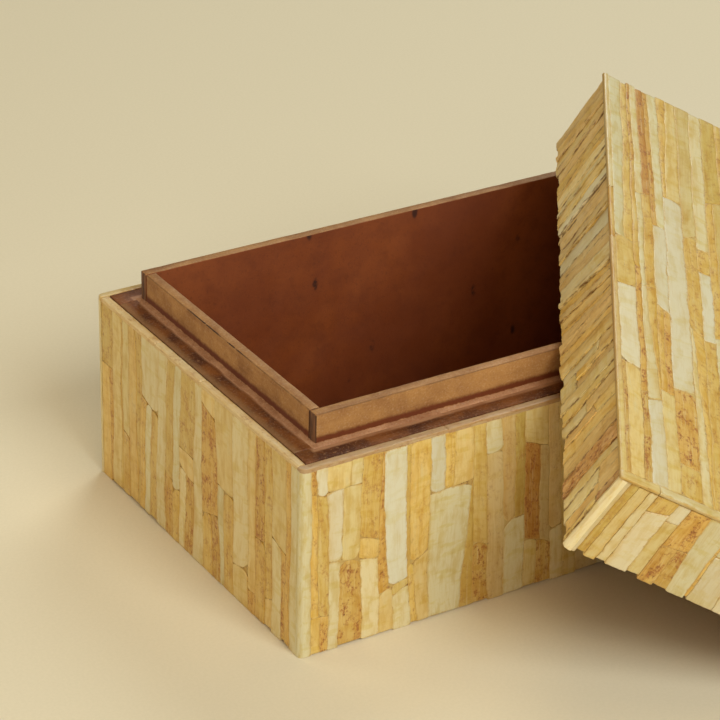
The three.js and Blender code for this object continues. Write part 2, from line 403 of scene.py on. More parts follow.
class Face:
    """Place of a covering: across its slivers, along them and outwards, in millimetres."""

    def __init__(self, node, across, along, outwards):
        self.node = node
        self.axes = np.array([across, along, outwards])
        spans = np.array([reach(node, axis) for axis in (across, along, outwards)])
        self.corner = spans[:, 0] @ self.axes
        self.width, self.length, self.thickness = (spans[:, 1] - spans[:, 0]) / MM

    def places(self, points):
        return self.corner + np.asarray(points) * MM @ self.axes

    def reach_on(self, sides, end):
        """Runs the covering on past its node's sides and end, up to what lies next to it."""
        self.corner = self.corner - self.axes[0] * sides * MM
        self.width += 2 * sides
        self.length += end

    def quad(self, start, end):
        """The face's whole width between two places along it."""
        return np.array([[(0, start), (self.width, start)], [(0, end), (self.width, end)]], float)

    def from_sides(self, a):
        return np.minimum(a, self.width - a)


# Meshes


def add_object(name, data):
    thing = bpy.data.objects.new(name, data)
    bpy.context.scene.collection.objects.link(thing)
    return thing


def add_mesh(mesh, material, sharp_angle):
    """Adds a mesh to the scene, smooth but for its sharp arrises."""
    mesh.materials.append(material)
    mesh.shade_smooth()
    mesh.set_sharp_from_angle(angle=math.radians(sharp_angle))
    return add_object(mesh.name, mesh)


def mesh_object(name, points, faces, material, sharp_angle=SLIVER_SHARP):
    mesh = bpy.data.meshes.new(name)
    mesh.from_pydata([tuple(point) for point in points], [], faces)
    return add_mesh(mesh, material, sharp_angle)


def set_attribute(mesh, name, kind, values):
    attribute = mesh.attributes.new(name, kind, "POINT")
    field = {"FLOAT": "value", "FLOAT_VECTOR": "vector", "FLOAT_COLOR": "color"}[kind]
    attribute.data.foreach_set(field, np.asarray(values, np.float32).ravel())


def seed_of(name, step=1):
    """Starting number for a name's random draws."""
    return SEED + sum(ord(letter) for letter in name) * step


def ripple(rng, size, wavelength):
    """Smooth random function of a place on a face, mostly within plus and minus size."""
    waves = []
    for _ in range(RIPPLE_WAVES):
        turn = rng.uniform(0, math.tau)
        pace = math.tau / (wavelength * rng.uniform(*RIPPLE_SHARES))
        waves.append((pace * math.cos(turn), pace * math.sin(turn), rng.uniform(0, math.tau)))

    def value(a, l):
        return size * sum(np.sin(u * a + v * l + phase) for u, v, phase in waves) / RIPPLE_PEAK

    return value


def part_way(start, end, share):
    return start + (end - start) * share


def split_quad(quad, part, rng, found):
    """Divides a quad, its two ends in rows from left to right, as a covering's list says."""
    if isinstance(part, str):
        found.append((quad, part))
    elif isinstance(part, list):
        starts = np.cumsum([0] + [strip[0] for strip in part])
        ends = np.cumsum([0] + [strip[1] for strip in part])
        for i, strip in enumerate(part):
            edges = [
                [part_way(*row, places[j] / places[-1]) for j in (i, i + 1)]
                for row, places in zip(quad, (starts, ends))
            ]
            split_quad(np.array(edges), strip[2], rng, found)
    else:
        width = np.linalg.norm(quad[0][1] - quad[0][0])
        length = np.linalg.norm(quad[1][0] - quad[0][0])
        skew = min(MOST_SKEW_SHARE, 0.28 * width / max(length, LEAST_WIDTH))
        stops = [(0, 0)]
        for share in part[1::2]:
            lean = rng.uniform(-skew, skew)
            stops.append((share - lean, share + lean))
        stops.append((1, 1))
        for i, piece in enumerate(part[0::2]):
            rows = [
                [part_way(quad[0][j], quad[1][j], stop[j]) for j in (0, 1)]
                for stop in stops[i:i + 2]
            ]
            split_quad(np.array(rows), piece, rng, found)


def drawn_part(rng, length, style):
    """What fills one drawn strip: one sliver or a few end to end."""
    kinds = style["kinds"]
    count = max(1, round(length / style["most_length"] * rng.uniform(*COUNT_SHARES)))
    drawn = [rng.choice(kinds) for _ in range(count)]
    if count == 1:
        return drawn[0]
    part = [drawn[0]]
    for i, kind in enumerate(drawn[1:], 1):
        wide = rng.random() < 0.3
        split = [(1, rng.uniform(0.5, 1.2), kind), (rng.uniform(0.5, 1), 1, rng.choice(kinds))]
        part += [(i + rng.uniform(-STOP_SHARE, STOP_SHARE)) / count, split if wide else kind]
    return tuple(part)


def drawn_strips(rng, width, length, style):
    """Strips of drawn widths that fill about the width given."""
    least, most = style["widths"]
    strips = []
    while width > least / 2:
        start = rng.uniform(least, most)
        end = start * rng.uniform(*TAPER_SHARES)
        strips.append((start, end, drawn_part(rng, length, style)))
        width -= start
    return strips


def widths_of(strips):
    return sum(strip[0] for strip in strips)


def steps_between(low, high, step, edge):
    """Places from low to high a step apart, with more of them in the rounded edges."""
    edge = min(edge, (high - low) / EDGE_ROOM)
    rounding = [share * edge for share in EDGE_SHARES]
    if high - low > 3 * BLEED:
        rounding.append(BLEED)
        edge = BLEED
    inner = max(1, math.ceil((high - low - 2 * edge) / step))
    middle = np.linspace(low + edge, high - edge, inner + 1)[1:-1]
    return np.concatenate([low + np.array(rounding), middle, high - np.array(rounding[::-1])])


def corner_steps(places, radius, at_start):
    """The places with more of them where a corner is rounded."""
    own = radius * np.array(CORNER_SHARES)
    own = places[0] + own if at_start else places[-1] - own
    own = [place for place in own if np.abs(places - place).min() > LEAST_STEP]
    return np.sort(np.concatenate([places, own]))


def fillet(distance, radius):
    """Drop of a rounded arris at a distance from it."""
    inside = np.clip(radius - distance, 0, radius)
    return radius - np.sqrt(np.maximum(radius**2 - inside**2, 0))


def nearness(distance, limit):
    """Share that is whole at no distance and falls to nothing at the limit."""
    return np.clip(1 - distance / limit, 0, 1)


def border_of(grid):
    """What a grid holds along its border, in order round it."""
    return np.concatenate([grid[0], grid[1:, -1], grid[-1, -2::-1], grid[-2:0:-1, 0]])


def closed(values, below):
    """A grid's values, and then the value below for each place at the foot of its border."""
    return np.concatenate([values.ravel(), np.full(len(border_of(values)), below)])


class Slivers:
    """Collects the slivers of one face into one mesh, with sizes in millimetres.

    Relief, roughness and ridge are the depths of slivers, dents and ridges under the face. Warp
    is how far their sides waver, arris the radius of their edges, rounding how round their ends
    are, and base the height of their undersides. The corners are radii of the face's own arrises.
    """

    def __init__(self, face, rng, **shape):
        vars(self).update(PLAIN_SHAPE | shape)
        self.face, self.rng = face, rng
        self.bends = ripple(rng, self.warp, WARP_WAVE)
        self.small_bends = ripple(rng, self.warp * 0.22, SMALL_WARP_WAVE)
        self.wobble = ripple(rng, self.warp * 0.2, WOBBLE_WAVE)
        self.dents = ripple(rng, 1, DENT_WAVE)
        self.levels = ripple(rng, 1, LEVEL_WAVE)
        self.ridges = ripple(rng, 1, RIDGE_WAVE)
        self.points, self.faces = [], []
        self.tints, self.marks, self.grain = [], [], []
        self.count = 0

    def moved(self, flat):
        """Outline places after the face's slight irregularity, which fades at its border."""
        a, l = flat[..., 0], flat[..., 1]
        border = np.clip(self.face.from_sides(a) / BORDER_FADE, 0, 1)
        shift = (self.bends(a, l * 0.6) + self.small_bends(a, l) + self.wobble(a, l)) * border
        rounded = fillet(np.minimum(l, self.face.length - l), self.end_corner) / self.face.width
        return np.stack([(a + shift) * (1 - rounded), l], -1)

    def grid_steps(self, quad, width, length, step, radius, recesses):
        """Places of a sliver's grid across and along it."""
        side_step = RIDGE_WAVE / 3 if self.ridge else step
        across = steps_between(self.seam_half, width - self.seam_half, side_step, radius)
        start, end = recesses
        along = steps_between(SEAM_HALF + start, length - SEAM_HALF - end, step, radius)
        at_left, at_right = self.at_sides(quad)
        if self.corner and (at_left or at_right):
            across = corner_steps(across, self.corner, at_left)
        if self.end_corner:
            for at_start, row in ((True, quad[0]), (False, self.face.length - quad[1])):
                if row[:, 1].max() < TOLERANCE:
                    along = corner_steps(along, self.end_corner, at_start)
        return across, along

    def at_sides(self, quad):
        """Whether a quad lies at the face's left border and at its right one."""
        at_left = quad[:, 0, 0].max() < TOLERANCE
        return at_left, quad[:, 1, 0].min() > self.face.width - TOLERANCE

    def outline(self, quad, width, length, s, t):
        """Places on the face of a sliver's grid, whose inner ends are round or blunt."""
        rng = self.rng
        bent = t.copy()
        for end in (0, 1):
            places = quad[end][:, 1]
            most = self.face.length - TOLERANCE
            inner = TOLERANCE < places.min() and places.max() < most
            shares = TONGUE_SHARES if rng.random() < 0.4 else BLUNT_SHARES
            tongue = rng.uniform(*shares) * self.rounding
            depth = min(width, MOST_TONGUE) / 2 * tongue if inner else BORDER_ROUNDING
            lean = rng.uniform(-END_LEAN_SHARE, END_LEAN_SHARE)
            from_middle = np.abs(2 * s - 1 - lean) / (1 + abs(lean))
            back = from_middle**3 * min(depth, length / 4) / length
            bent += back * (1 - t) ** 5 if end == 0 else -back * t**5
        sides = [part_way(quad[0][i], quad[1][i], bent[..., None]) for i in (0, 1)]
        return self.moved(part_way(*sides, s[..., None]))

    def heights(self, quad, s, t, a, l, pitted):
        """Heights of a sliver's grid: its own level and slopes, less its dents and ridges."""
        rng, relief = self.rng, self.relief
        level = np.clip(0.5 + 0.6 * self.levels(quad[:, :, 0].mean(), 0), 0, 1)
        height = self.face.thickness - relief * (0.75 * level + rng.uniform(0, 0.25))
        height -= rng.uniform(0, relief) * 0.6 * np.abs(s - rng.choice([0, 1]))
        height -= rng.uniform(0, relief) * 0.15 * np.abs(t - rng.choice([0, 1]))
        height -= self.roughness * (0.35 + pitted) * np.clip(self.dents(a * 1.3, l * 0.7), 0, 1.2)
        return height - self.ridge * np.clip(0.5 + self.ridges(a, l * 0.08), 0, 1.2)

    def shades(self, colour, quad, width, across, a, l):
        """Colours of a sliver: darker towards one side, and painted shade along the face's arris.
        """
        rng = self.rng
        # A style's shade brightens all of a face's slivers; on the lid's walls it is painted
        # light.
        shade = rng.uniform(0.93, 1.05) * np.array(self.shade)
        warmth = rng.uniform(-0.04, 0.04)
        tint = np.array(linear(colour)) * shade * np.array([1 + warmth, 1, 1 - 1.5 * warmth])
        fade = rng.uniform(*SIDE_FADES)
        at_left, at_right = self.at_sides(quad)
        dark_left = not at_left and (at_right or rng.random() < 0.5)
        from_dark_side = (across if dark_left else width - across)[None, :]
        dark = np.exp(-from_dark_side / fade) * rng.uniform(0.1, 0.9)
        dark = closed(np.clip(dark * (1 + 0.7 * self.dents(a * 0.3, l * 0.25)), 0, 1), 0)
        # Painted shade along the face's outer arris, as strong as the style's rim.
        rim = closed(self.rim * nearness(self.face.from_sides(a), BLEED), self.rim)
        tint = tint * (1 - dark[:, None] * (1 - self.side))
        return tint * (1 - rim[:, None] * (1 - RIM_SHADE_SHARES))

    def add(self, quad, kind, start_recess=0.0, end_recess=0.0):
        """Adds one sliver that fills a quad, but for the recesses at its two ends."""
        rng = self.rng
        rows = np.linalg.norm(quad[:, 1] - quad[:, 0], axis=1)
        width, length = sum(rows) / 2, np.linalg.norm((quad[1] - quad[0]).sum(0) / 2)
        if width > 1.5 * length and width > CROSSED_WIDTH:
            quad = np.array([[quad[0][0], quad[1][0]], [quad[0][1], quad[1][1]]])[:, ::-1]
            width, length = length, width
        if width < LEAST_WIDTH or length < LEAST_WIDTH:
            return
        colour, *marks = KINDS[kind]
        pitted = marks[0]
        radius = min(self.arris * rng.uniform(*ARRIS_SHARES), width / 3)
        step = FINE_STEP if pitted > 0.5 else ROW_STEP
        recesses = (start_recess, end_recess)
        across, along = self.grid_steps(quad, width, length, step, radius, recesses)
        s, t = np.meshgrid(across / width, along / length)
        flat = self.outline(quad, width, length, s, t)
        a, l = flat[..., 0], flat[..., 1]
        from_side = np.minimum(across - across[0], across[-1] - across)[None, :]
        from_end = np.minimum(along - along[0], along[-1] - along)[:, None]
        from_border = self.face.from_sides(a)
        drop = fillet(from_side, radius) + fillet(from_end, radius)
        drop = np.minimum(drop, 1.3 * radius) + fillet(from_border, self.corner)
        height = self.heights(quad, s, t, a, l, pitted) - drop
        height = np.clip(height, LEAST_HEIGHT, self.face.thickness)
        self.append_shell(a, l, height)
        shades = self.shades(colour, quad, width, across, a, l)
        self.tints.append(np.column_stack([shades, np.ones(len(shades))]))
        edge = np.maximum(nearness(from_side, BLEED), nearness(from_end, BLEED))
        edge = closed(edge * np.clip(from_border / (2 * BLEED), 0, 1), 0)
        self.marks.append(np.column_stack([np.tile(marks, (len(edge), 1)), edge]))
        offset = np.array([rng.uniform(0, PATTERN_SPREAD), rng.uniform(0, PATTERN_SPREAD)])
        grid = np.stack([s * width, t * length], -1)
        places = np.vstack([grid.reshape(-1, 2), border_of(grid)]) + offset
        self.grain.append(np.column_stack([places, closed(height, self.base)]))

    def append_shell(self, a, l, height):
        """Adds a closed solid under a grid of places."""
        below = np.full(a.shape, self.base)
        foot = border_of(np.stack([a, l, below], -1))
        self.points.append(np.vstack([np.stack([a, l, height], -1).reshape(-1, 3), foot]))
        grid = self.count + np.arange(a.size).reshape(a.shape)
        squares = grid[:-1, :-1], grid[:-1, 1:], grid[1:, 1:], grid[1:, :-1]
        self.faces += np.stack(squares, -1).reshape(-1, 4).tolist()
        rim, foot = border_of(grid), self.count + a.size + np.arange(len(foot))
        walls = rim, foot, np.roll(foot, -1), np.roll(rim, -1)
        self.faces += np.stack(walls, -1).tolist() + [foot[::-1].tolist()]
        self.count = foot[-1] + 1

    def build(self, name, material):
        points = self.face.places(np.vstack(self.points))
        piece = mesh_object(name, points, self.faces, material)
        set_attribute(piece.data, "tint", "FLOAT_COLOR", np.vstack(self.tints))
        marks = np.vstack(self.marks)
        set_attribute(piece.data, "marks", "FLOAT_VECTOR", marks[:, :3])
        set_attribute(piece.data, "arris", "FLOAT", marks[:, 3])
        set_attribute(piece.data, "grain", "FLOAT_VECTOR", np.vstack(self.grain))
        return piece


# Materials


class Look:
    """A material and the short calls that build its nodes."""

    def __init__(self, name):
        self.material = bpy.data.materials.new(name)
        self.material.use_nodes = True
        self.tree = self.material.node_tree
        self.surface = self.tree.nodes["Principled BSDF"]

    def feed(self, socket, value):
        if isinstance(value, bpy.types.NodeSocket):
            self.tree.links.new(value, socket)
        else:
            socket.default_value = value

    def node(self, kind, inputs, **settings):
        node = self.tree.nodes.new("ShaderNode" + kind)
        for key, value in settings.items():
            setattr(node, key, value)
        for key, value in inputs.items():
            self.feed(node.inputs[key], value)
        return node

    def attribute(self, name, output="Fac"):
        return self.node("Attribute", {}, attribute_name=name).outputs[output]

    def place(self):
        return self.node("TexCoord", {}).outputs["Object"]

    def parts(self, vector):
        return self.node("SeparateXYZ", {0: vector}).outputs

    def math(self, operation, first, second=0.0, third=0.0):
        inputs = {0: first, 1: second, 2: third}
        return self.node("Math", inputs, operation=operation).outputs[0]

    def product(self, *values):
        result = values[0]
        for value in values[1:]:
            result = self.math("MULTIPLY", result, value)
        return result

    def stretched(self, vector, scale):
        return self.node("VectorMath", {0: vector, 1: scale}, operation="MULTIPLY").outputs[0]

    def run(self, place, axis):
        """How far along an axis a place lies."""
        inputs = {0: place, 1: axis}
        return self.node("VectorMath", inputs, operation="DOT_PRODUCT").outputs["Value"]

    def noise(self, vector, scale, detail=3.0, roughness=0.55):
        inputs = {"Vector": vector, "Scale": scale, "Detail": detail, "Roughness": roughness}
        return self.node("TexNoise", inputs).outputs["Fac"]

    def cells(self, vector, scale):
        """Distance to the nearest of the points strewn over the surface."""
        return self.node("TexVoronoi", {"Vector": vector, "Scale": scale}).outputs["Distance"]

    def between(self, value, low, high, start=0.0, end=1.0):
        """Smooth rise from start to end as the value goes from low to high."""
        inputs = {0: value, 1: low, 2: high, 3: start, 4: end}
        return self.node("MapRange", inputs, interpolation_type="SMOOTHSTEP").outputs[0]

    def where(self, value, low, high, *shares):
        """Share that rises as the value goes from low to high, times other shares."""
        return self.product(self.between(value, low, high), *shares)

    def within(self, value, low, high, fade):
        """Share that is whole between low and high and fades outside them."""
        return self.where(value, low - fade, low, self.between(value, high + fade, high))

    def mix(self, share, first, second, blend="MIX"):
        settings = {"data_type": "RGBA", "blend_type": blend}
        return self.node("Mix", {0: share, 6: first, 7: second}, **settings).outputs[2]

    def paint(self, share, colour, blend="MIX"):
        """Lays a colour over the material's own, as far as the share says."""
        self.colour = self.mix(share, self.colour, colour, blend)

    def tint(self, share, colour):
        self.paint(share, colour, "MULTIPLY")

    def bump(self, height, strength, depth):
        inputs = {"Height": height, "Strength": strength, "Distance": depth}
        return self.node("Bump", inputs).outputs[0]

    def finish(self, roughness, normal):
        self.feed(self.surface.inputs["Base Color"], self.colour)
        self.feed(self.surface.inputs["Roughness"], roughness)
        self.feed(self.surface.inputs["Normal"], normal)
        return self.material

    def finish_dull(self, noise, least, most, fine, strength, depth=FINE_RELIEF):
        """Dull finish: roughness from least to most by a noise, and a fine relief."""
        roughness = self.between(noise, 0.3, 0.7, least, most)
        return self.finish(roughness, self.bump(fine, strength, depth))


# A sliver's noise patterns: how fine they are across and along it, their detail and roughness.
PATTERNS = (
    (1.5, 0.05, 4.0, 0.6), (3.6, 0.22, 2.0, 0.55), (0.11, 0.3, 4.0, 0.6), (0.3, 0.085, 4.0, 0.6),
    (1.1, 0.75, 4.0, 0.7), (0.3, 0.17, 3.0, 0.6), (1.1, 0.45, 4.0, 0.65),
)
# Pale tan of the ridge round the liner's foot; on the boards it is wear and a painted highlight.
RIDGE_TAN = rgba(174, 127, 89)


def sliver_material(name, seam_strength, seam_colour, groove_depth):
    """Polished horn-like slivers: streaks along them, faint bands across, mottling and pits."""
    look = Look(name)
    grain = look.attribute("grain", "Vector")
    pitted, streaky, mottled = look.parts(look.attribute("marks", "Vector"))
    arris = look.attribute("arris")
    streaks, threads, patches, blotches, pores, spread, ragged = [
        look.noise(look.stretched(grain, (across, along, 1)), 1.0, detail, roughness)
        for across, along, detail, roughness in PATTERNS
    ]
    holes = look.cells(look.stretched(grain, (0.8, 0.5, 1)), 1.0)

    stain = look.where(blotches, 0.44, 0.66, mottled)
    look.colour = look.attribute("tint", "Color")
    look.tint(stain, rgba(240, 226, 186))
    clear = look.math("SUBTRACT", 1.0, pitted)
    faded = look.where(blotches, 0.46, 0.3, mottled, clear, 0.5)
    look.paint(faded, rgba(208, 192, 142))
    patch = look.where(patches, 0.5, 0.64, mottled, 0.8)
    look.tint(patch, rgba(245, 236, 186))
    streak = look.where(streaks, 0.5, 0.74, streaky, 0.6)
    look.tint(streak, rgba(232, 208, 164))
    light = look.where(streaks, 0.46, 0.28, streaky, 0.4)
    look.paint(light, rgba(212, 196, 152))
    thread = look.where(threads, 0.54, 0.72, streaky, 0.22)
    look.tint(thread, rgba(236, 218, 176))

    worn = look.between(spread, 0.4, 0.56)
    porous = look.where(pores, 0.44, 0.64, worn, pitted, 0.7)
    look.tint(porous, rgba(220, 180, 122))
    rust = look.where(spread, 0.5, 0.62, look.between(pores, 0.38, 0.56), pitted, 0.95)
    look.paint(rust, rgba(164, 102, 42))
    specks = look.where(pores, 0.57, 0.64, worn, pitted, 0.85)
    look.paint(specks, rgba(118, 74, 32))
    open_share = look.math("ADD", pitted, 0.05)
    holed = look.where(holes, 0.22, 0.12, look.between(spread, 0.58, 0.66), open_share, 0.9)
    look.paint(holed, rgba(74, 44, 18))

    near_seam = look.math("MULTIPLY_ADD", arris, 0.85, -1.2)
    near_seam = look.math("MULTIPLY_ADD", ragged, 2.2, near_seam)
    bled = look.where(near_seam, 0.15, 0.9, look.between(spread, 0.4, 0.6, 0.0, seam_strength))
    look.paint(bled, seam_colour)
    crumbs = look.where(pores, 0.57, 0.63, look.between(arris, 0.5, 0.85))
    crumbs = look.product(crumbs, look.between(spread, 0.5, 0.58), 0.6)
    look.paint(crumbs, rgba(112, 72, 32))

    gloss = look.between(streaks, 0.2, 0.8, 0.3, 0.46)
    roughness = look.math("MULTIPLY_ADD", pitted, 0.2, gloss)
    grooves = look.math("MULTIPLY_ADD", threads, 0.4, look.product(pores, pitted, 1.2))
    grooves = look.math("SUBTRACT", grooves, look.product(holed, 2.0))
    material = look.finish(roughness, look.bump(grooves, 0.28, groove_depth))
    look.surface.inputs["Coat Weight"].default_value = 0.12
    look.surface.inputs["Coat Roughness"].default_value = 0.25
    return material


def resin_material(name, light, dark, speck):
    """Resin between the slivers, with darker grains in it."""
    look = Look(name)
    place = look.place()
    wide = look.noise(place, 90.0, 3.0)
    fine = look.noise(place, 700.0, 3.0, 0.7)
    look.colour = look.mix(look.between(wide, 0.4, 0.62), light, dark)
    grains = look.where(fine, 0.54, 0.66, look.between(wide, 0.4, 0.6))
    look.paint(grains, speck)
    return look.finish_dull(fine, 0.35, 0.6, fine, 0.3)


def wood_material(name, light, dark, along, streak_share):
    """Plain stained fibre board. Returns its look, the place on it and two noises."""
    look = Look(name)
    place = look.place()
    scale = tuple(Vector((1, 1, 1)) - Vector([abs(x) for x in along]) * 0.88)
    streaks = look.noise(look.stretched(place, scale), 320.0, 4.0, 0.62)
    mottle = look.noise(place, 75.0, 5.0, 0.65)
    fine = look.noise(place, 1400.0, 3.0, 0.7)
    look.colour = look.mix(look.between(mottle, 0.36, 0.66), light, dark)
    streak = look.where(streaks, 0.46, 0.72, streak_share)
    look.tint(streak, rgba(176, 140, 112))
    pale_speck = look.where(fine, 0.46, 0.34, 0.07)
    look.paint(pale_speck, rgba(255, 236, 214), "SCREEN")
    speck = look.where(fine, 0.54, 0.68, 0.35)
    look.tint(speck, rgba(196, 164, 134))
    look.surface.inputs["Specular IOR Level"].default_value = 0.3
    return look, place, fine, mottle


def carcass_material(name, along, inwards, arris, worn_highlit_width, worn_highlit_stretch, dust):
    """Fibre board stained dark brown, worn paler along a stretch of its inner arris.

    Its paler strip is wear and a painted highlight.
    """
    look, place, fine, mottle = wood_material(
        name, rgba(124, 72, 30), rgba(77, 39, 15), along, 0.5
    )
    grains = look.noise(place, 900.0, 2.0, 0.7)
    pale = look.where(grains, 0.58, 0.66, look.between(mottle, 0.4, 0.6), 0.4)
    look.paint(pale, rgba(168, 124, 82))
    ragged = look.math("MULTIPLY_ADD", mottle, WORN_HIGHLIT_WAVER, -WORN_HIGHLIT_WAVER / 2)
    deep = look.math("ADD", look.run(place, inwards), ragged)
    edge = arris - worn_highlit_width
    start, end = worn_highlit_stretch[0] - worn_highlit_width, worn_highlit_stretch[1] + worn_highlit_width
    stretch = look.within(look.run(place, along), start, end, WORN_HIGHLIT_FADE)
    broken = look.between(mottle, 0.34, 0.56, 0.5, 0.95)
    # Paler strip along the inner arris: wear and a painted highlight.
    worn = look.where(deep, edge - WORN_HIGHLIT_FADE, edge, stretch, broken)
    look.paint(worn, RIDGE_TAN)
    dusty_from, dusty_to = [arris - margin for margin in DUSTY_MARGIN]
    dusty = look.between(deep, dusty_from, dusty_to, 0, dust)
    look.paint(dusty, rgba(150, 112, 70))
    return look.finish_dull(mottle, 0.5, 0.72, fine, 0.3)


def liner_material(name, along, line, chipped_from, chipped_to):
    """Tan board, stained red brown inside the box. Outside, a dark line is stain and painted
    shade.

    The board is worn and painted with a highlight below the line, and its outer top arris is
    chipped between two places.
    """
    look, place, fine, mottle = wood_material(
        name, rgba(169, 121, 66), rgba(147, 101, 54), along, 0.4
    )
    ragged = look.noise(place, 420.0, 5.0, 0.75)
    edge = look.math("MULTIPLY_ADD", ragged, STAIN_SHADE_WAVER, line - STAIN_SHADE_WAVER / 2)
    above = look.math("SUBTRACT", look.parts(place)[2], edge)
    # Paler foot below the dark line: wear and a painted highlight.
    look.paint(look.between(above, *WORN_HIGHLIT_FOOT, 0, 0.8), RIDGE_TAN)
    # Dark line along the foot: stain and painted shade of the joint below it.
    stain = look.where(above, *STAIN_SHADE_START, look.between(above, *STAIN_SHADE_FADE), 0.95)
    look.paint(stain, rgba(96, 38, 6))
    rim = look.attribute("outer_arris")
    look.paint(look.product(rim, 0.45), rgba(112, 76, 42))
    chips = look.noise(place, 300.0, 3.0, 0.6)
    start, end = chipped_from + CHIP_FADE / 2, chipped_to - CHIP_FADE / 2
    stretch = look.within(look.run(place, along), start, end, CHIP_FADE)
    stretch = look.math("MULTIPLY_ADD", stretch, 0.8, 0.2)
    chipped = look.where(chips, 0.4, 0.5, rim, stretch)
    look.paint(chipped, rgba(62, 36, 18))
    layers = look.noise(look.stretched(place, (1, 1, 0.12)), 900.0, 3.0)
    end_colour = look.mix(look.between(layers, 0.4, 0.6), rgba(74, 44, 24), rgba(118, 76, 44))
    look.paint(look.attribute("end_grain"), end_colour)
    look.paint(look.attribute("end_arris"), rgba(54, 32, 17))
    look.paint(look.attribute("stained"), stained_colour(look, place))
    return look.finish_dull(mottle, 0.55, 0.7, fine, 0.25)


def bead_material():
    """Worn filler, patchy with stain."""
    colours = (RIDGE_TAN, rgba(146, 98, 62))
    look, _, fine, mottle = wood_material("foot_bead", *colours, (0, 0, 0), 0.3)
    return look.finish_dull(mottle, 0.5, 0.7, fine, 0.3)


def stained_colour(look, place):
    """Red brown stain, softly mottled, with a few small dark pits."""
    wide = look.noise(place, 22.0, 4.0, 0.6)
    soft = look.noise(place, 110.0, 5.0, 0.65)
    grain = look.noise(place, 1100.0, 3.0, 0.7)
    colour = look.mix(look.between(wide, 0.35, 0.65), rgba(131, 65, 24), rgba(113, 52, 19))
    colour = look.mix(look.between(soft, 0.45, 0.7, 0, 0.4), colour, rgba(97, 43, 15))
    colour = look.mix(look.between(grain, 0.55, 0.7, 0, 0.35), colour, rgba(78, 36, 15))
    pits = look.cells(look.stretched(place, (1, 1, 0.5)), 75.0)
    pitted = look.where(pits, 0.12, 0.05, look.between(soft, 0.44, 0.56), 0.85)
    return look.mix(pitted, colour, rgba(42, 20, 10))


def stained_material():
    """Stained board that doesn't show outside."""
    look = Look("stained_wood")
    place = look.place()
    fine = look.noise(place, 1200.0, 3.0, 0.7)
    arris = look.product(look.attribute("outer_arris"), 0.4)
    look.colour = stained_colour(look, place)
    look.paint(arris, rgba(150, 100, 62))
    return look.finish_dull(fine, 0.45, 0.62, fine, 0.2)


def floor_material():
    look = Look("floor_paper")
    fine = look.noise(look.place(), 900.0, 2.0)
    light, dark = rgba(225, 210, 176), rgba(222, 207, 172)
    look.colour = look.mix(look.between(fine, 0.3, 0.7), dark, light)
    return look.finish_dull(fine, 0.75, 0.85, fine, 0.05, PAPER_RELIEF)


SLIVERS = sliver_material("slivers", 0.9, rgba(194, 156, 82), GROOVE_DEPTH)
SLIVERS_ROUGH = sliver_material("slivers_rough", 0.95, rgba(122, 86, 42), ROUGH_GROOVE_DEPTH)
EDGING = sliver_material("edging", 0.6, rgba(140, 100, 58), GROOVE_DEPTH)
RESIN = resin_material("resin", rgba(196, 167, 100), rgba(184, 149, 80), rgba(120, 80, 38))
DEEP_RESIN = resin_material("deep_resin", rgba(140, 106, 54), rgba(104, 72, 32), rgba(74, 46, 20))

# Coverings. A style gives the slivers' shape, how far their ends draw back at the face's start
# and end, where the resin lies, and the widths, length and kinds of the slivers that are drawn.

WALL_STYLE = {
    "shape": {"relief": 0.12, "roughness": 0.05, "warp": 0.6, "arris": 0.03, "rounding": 0.9},
    "ragged_start": 0.9, "ragged_end": 0.2, "resin_depth": 0.32, "resin_inset": 0.5,
    "resin": RESIN, "material": SLIVERS,
    "widths": (2.4, 8.8), "most_length": 60, "kinds": DRAWN_KINDS,
}
END_STYLE = WALL_STYLE | {
    "shape": {"relief": 0.28, "roughness": 0.08, "warp": 0.5, "arris": 0.1, "rounding": 0.9},
    "ragged_start": 1.3, "resin_depth": 0.7,
}
LID_STYLE = WALL_STYLE | {
    "shape": {
        "relief": 0.9, "roughness": 0.3, "ridge": 0.2, "warp": 0.4, "arris": 0.3,
        # The shade brightens these slivers with painted light that the lamps don't give the lid's
        # walls.
        "rounding": 0.05, "shade": (1.27, 1.24, 1.14), "seam_half": 0.05, "side": BROWN_SIDE,
    },
    "ragged_start": 1.6, "ragged_end": 0.3, "resin_depth": 1.4,
    "resin": DEEP_RESIN, "material": SLIVERS_ROUGH,
    "widths": (2.2, 6.4), "most_length": 40, "kinds": SHADED_KINDS,
}
LID_LEFT_STYLE = LID_STYLE | {
    "shape": {
        "relief": 0.4, "roughness": 0.15, "ridge": 0.08, "warp": 0.4, "arris": 0.2,
        "rounding": 0.6,
    },
    "ragged_end": 0.2, "resin_depth": 0.7, "resin": RESIN, "material": SLIVERS,
}
LID_TOP_STYLE = WALL_STYLE | {
    "shape": {
        "relief": 0.16, "roughness": 0.06, "warp": 0.5, "arris": 0.12, "rounding": 0.7,
        # The rim paints shade along the top covering's outer arris.
        "base": 2.0, "corner": 0.7, "rim": 1,
    },
    "ragged_start": 0.0, "ragged_end": 1.8, "resin_depth": 0.26, "resin_inset": 3.6,
    "widths": (2.4, 8.0), "most_length": 70,
}
EDGING_SHAPE = {"relief": 0.22, "roughness": 0.16, "arris": 0.4, "base": -EDGING_BED}
EDGING_KINDS = dict.fromkeys(SIDES, ["peach", "tan"]) | {"front": ["pink", "tan", "pink"]}


